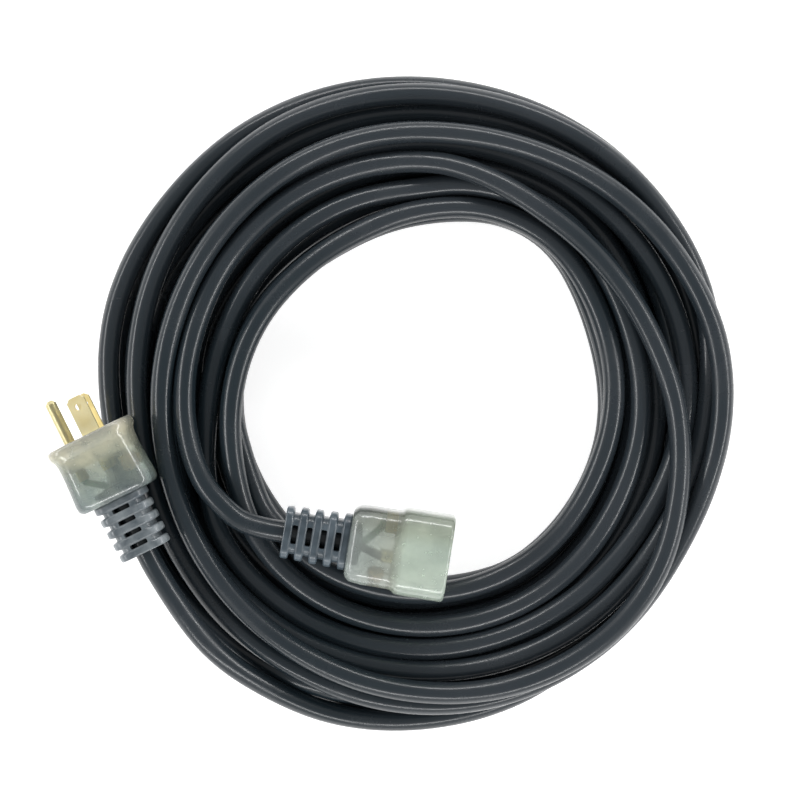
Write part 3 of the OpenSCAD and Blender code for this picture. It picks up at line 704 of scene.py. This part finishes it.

# %% [markdown]
# ## Clear, brass and small finishes
# The two bodies are clear PVC, a little milky, so they pass light but blur what is inside. They
# could be plain tinted glass. Each finish is multiplied by a ramp along the piece's own back or
# across attribute, which paints light and shade into its colour: a painted warm reflection of the
# blades and painted shade towards the cord end on the plug, painted shade behind the collar and
# along one side on the connector, and painted glints along the reliefs' side edges. The plug's
# relief is a painted lighter copy and the connector's a painted darker copy of one smoky finish.
# The insert behind the face is an opaque pale moulding. Blades and contacts are rolled brass with
# a faint tarnish, and the wires, the lamp and its resistor have their own small finishes.

# %% Clear bodies and smoky reliefs
def paint_light_and_shade(material, attribute, stops):
    """Paint light and shade into a finish along the piece's own attribute, in millimetres: (value, colour)
    stops.
    """
    nodes, links = material.node_tree.nodes, material.node_tree.links
    where = nodes.new("ShaderNodeAttribute")
    where.attribute_name = attribute
    first, last = stops[0][0], stops[-1][0]
    span = nodes.new("ShaderNodeMapRange")
    span.inputs["From Min"].default_value = first
    span.inputs["From Max"].default_value = last
    links.new(where.outputs["Fac"], span.inputs["Value"])
    ramp = nodes.new("ShaderNodeValToRGB")
    for i, (x, colour) in enumerate(stops):
        at = (x - first) / (last - first)
        element = ramp.color_ramp.elements[i] if i < 2 else ramp.color_ramp.elements.new(at)
        element.position = at
        element.color = (*colour, 1)
    links.new(span.outputs["Result"], ramp.inputs["Fac"])
    base = nodes["Principled BSDF"].inputs["Base Color"]
    drift = base.links[0].from_socket
    mix = nodes.new("ShaderNodeMix")
    mix.data_type = "RGBA"
    mix.blend_type = "MULTIPLY"
    mix.inputs["Factor"].default_value = 1
    links.new(drift, mix.inputs["A"])
    links.new(ramp.outputs["Color"], mix.inputs["B"])
    links.new(mix.outputs["Result"], base)


MILKY = {"rough": 0.24, "rub": 0.06, "grain_scale": 900, "grain_mm": 0.002, "clear": 0.6, "coat": 0.6}
SMOKY = {"rough": 0.3, "rub": 0.25, "coat": 0.3}
plug_clear = finish("milky plug PVC", (0.86, 0.84, 0.73), (0.46, 0.49, 0.48), patch=95, **MILKY)
# Painted light and shade along the plug: a painted warm reflection of the brass blades just behind the face,
# and painted shade growing towards the cord end
paint_light_and_shade(plug_clear, "back", [
    (0, (0.76, 0.74, 0.72)), (4, (1, 0.98, 0.86)), (9, (0.86, 0.87, 0.76)), (14, (0.54, 0.59, 0.53)),
    (22, (0.41, 0.49, 0.49)), (30, (0.36, 0.43, 0.46)),
])
connector_clear = finish("milky connector PVC", (0.87, 0.94, 0.85), (0.60, 0.66, 0.61), patch=80, **MILKY)
# Painted shade on the connector: the collar stays bright and the body behind it is darker
paint_light_and_shade(connector_clear, "back", [
    (0, (0.93, 0.96, 0.94)), (19, (0.93, 0.96, 0.93)), (23, (0.60, 0.59, 0.56)), (34, (0.54, 0.55, 0.55)),
    (43, (0.50, 0.52, 0.55)),
])
# Painted shade across the connector: darker towards one side, as if the light fell from the other
paint_light_and_shade(connector_clear, "across", [
    (-17, (1, 1, 1)), (4, (0.98, 1, 0.99)), (10, (0.76, 0.75, 0.70)), (17, (0.62, 0.61, 0.58)),
])
# One smoky PVC, the black cord seen through the clear sleeve, in two copies: the plug's relief is painted
# lighter and the connector's painted darker, as painted light and painted shade
plug_smoke_lit = finish("smoky relief PVC, painted lighter for the plug", (0.12, 0.145, 0.16), (0.30, 0.33, 0.34), patch=170, **SMOKY)
connector_smoke_shaded = finish(
    "smoky relief PVC, painted darker for the connector", (0.055, 0.078, 0.095), (0.13, 0.165, 0.19), patch=130, **SMOKY)
# Painted glints on the reliefs: lighter along both side edges of the ribs and darker down the middle
for smoke in (plug_smoke_lit, connector_smoke_shaded):
    paint_light_and_shade(smoke, "across", [
        (-12, (1, 1, 1)), (-9.5, (0.9, 0.9, 0.92)), (-7, (0.5, 0.52, 0.54)),
        (7, (0.5, 0.52, 0.54)), (9.5, (0.8, 0.8, 0.82)), (12, (1, 1, 1)),
    ])
MOULDED = [
    (plug_body, plug_clear), (connector_body, connector_clear),
    (plug_relief, plug_smoke_lit), (connector_relief, connector_smoke_shaded),
]
for obj, material in MOULDED:
    obj.data.materials.clear()
    obj.data.materials.append(material)
    print(obj.name, "->", material.name)

# %% Finishes of the CAD nodes
# A node takes the first finish whose key is a part of its name, and otherwise brass
BRASS = {"patch": 160, "grain_scale": 900, "grain_mm": 0.003}
FINISHES = {
    "blade_carrier": finish("warm insert", (0.80, 0.77, 0.64), (0.72, 0.74, 0.66), 0.42, patch=90),
    "contact_block": finish("pale insert", (0.76, 0.82, 0.72), (0.68, 0.74, 0.67), 0.42, patch=60),
    "line_wire": finish("black insulation", (0.012, 0.012, 0.013), (0.02, 0.02, 0.022), 0.3, patch=200),
    "neutral_wire": finish("white insulation", (0.74, 0.73, 0.68), (0.66, 0.65, 0.6), 0.32, patch=200),
    "ground_wire": finish("green insulation", (0.03, 0.2, 0.07), (0.05, 0.26, 0.1), 0.32, patch=200),
    "lamp_resistor": finish("resistor coat", (0.52, 0.36, 0.18), (0.44, 0.29, 0.13), 0.5, patch=400),
    "lamp_leads": finish("tinned lead", (0.62, 0.62, 0.61), (0.5, 0.5, 0.5), 0.28, patch=300, metal=1.0),
    "lamp": finish(
        "lamp glass", (0.9, 0.62, 0.4), (0.8, 0.5, 0.3), 0.08, patch=200, grain_mm=0.001, clear=0.6),
    # The ground pin's brass is darker than the blades'
    "ground_pin": finish(
        "darker brass", (0.62, 0.56, 0.32), (0.50, 0.44, 0.24), 0.34, rub=0.15, metal=0.85, **BRASS),
    "brass": finish(
        "rolled brass", (0.98, 0.88, 0.54), (0.93, 0.80, 0.42), 0.36, rub=0.12, metal=0.7, **BRASS),
}
for name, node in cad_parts.items():
    if node.hide_render:
        continue
    key = next((k for k in FINISHES if k in name), "brass")
    node.data.materials.clear()
    node.data.materials.append(FINISHES[key])
    print(name, "->", FINISHES[key].name)

# %% [markdown]
# ## Floor and light
# A pale floor takes the shadow. Lit like the rest it would come out grey, and much stronger lamps
# would wash the cord out, so the floor glows faintly towards the camera, and also where it is
# mirrored or seen through clear plastic. Four long soft boxes round the coil draw thin light lines
# along every strand. The walls are pale low down and darker overhead, so that the strands' tops,
# which mirror the ceiling, stay dark.

# %% Floor
FLOOR_SIZE = 6
FLOOR_DROP = 0.0002
FLOOR_GLOW = 0.6
bpy.ops.mesh.primitive_plane_add(size=FLOOR_SIZE, location=(0, 0, -FLOOR_DROP))
floor = bpy.context.active_object
floor.name = "floor"
material = bpy.data.materials.new("white floor")
material.use_nodes = True
nodes, links = material.node_tree.nodes, material.node_tree.links
shader = nodes["Principled BSDF"]
shader.inputs["Base Color"].default_value = (0.9, 0.9, 0.9, 1)
shader.inputs["Roughness"].default_value = 0.9
path = nodes.new("ShaderNodeLightPath")
seen = path.outputs["Is Camera Ray"]
for ray in ("Is Transmission Ray", "Is Glossy Ray"):
    either = nodes.new("ShaderNodeMath")
    either.operation = "MAXIMUM"
    links.new(seen, either.inputs[0])
    links.new(path.outputs[ray], either.inputs[1])
    seen = either.outputs[0]
glow = nodes.new("ShaderNodeMath")
glow.operation = "MULTIPLY"
glow.inputs[1].default_value = FLOOR_GLOW
links.new(seen, glow.inputs[0])
shader.inputs["Emission Color"].default_value = (1, 1, 1, 1)
links.new(glow.outputs[0], shader.inputs["Emission Strength"])
floor.data.materials.append(material)
print("floor glow", FLOOR_GLOW)

# %% Soft boxes on four sides
REACH = 1.4
LAMP_HEIGHT = 0.95
STRIP = (1.8, 0.16)
POWER = 12
SIDES_LIT = {"left": (-REACH, 0), "right": (REACH, 0), "near": (0, -REACH), "far": (0, REACH)}


def soft_box(name, at, size, power):
    """A long area lamp that faces the coil. It's hidden from rays through the clear bodies."""
    lamp = bpy.data.lights.new(name, "AREA")
    lamp.shape = "RECTANGLE"
    lamp.size, lamp.size_y = size
    lamp.energy = power
    box = bpy.data.objects.new(name, lamp)
    box.location = at
    box.rotation_mode = "QUATERNION"
    box.rotation_quaternion = (-Vector(at)).to_track_quat("-Z", "Y")
    box.visible_transmission = False
    scene.collection.objects.link(box)


for name, (x, y) in SIDES_LIT.items():
    soft_box(name + " box", (x, y, LAMP_HEIGHT), STRIP, POWER)
print("soft boxes", len(SIDES_LIT), "of", POWER, "W")

# %% Studio walls, pale low down and darker overhead
PALE = 0.95
OVERHEAD = 0.29
world = bpy.data.worlds.new("studio")
world.use_nodes = True
nodes, links = world.node_tree.nodes, world.node_tree.links
where = nodes.new("ShaderNodeTexCoord")
height = nodes.new("ShaderNodeSeparateXYZ")
links.new(where.outputs["Generated"], height.inputs[0])
fade = nodes.new("ShaderNodeMapRange")
fade.interpolation_type = "SMOOTHSTEP"
fade.inputs["From Min"].default_value = 0.15
fade.inputs["From Max"].default_value = 0.95
fade.inputs["To Min"].default_value = PALE
fade.inputs["To Max"].default_value = OVERHEAD
links.new(height.outputs["Z"], fade.inputs["Value"])
links.new(fade.outputs["Result"], nodes["Background"].inputs["Strength"])
nodes["Background"].inputs["Color"].default_value = (1, 1, 1, 1)
scene.world = world
print("walls", PALE, "ceiling", OVERHEAD)
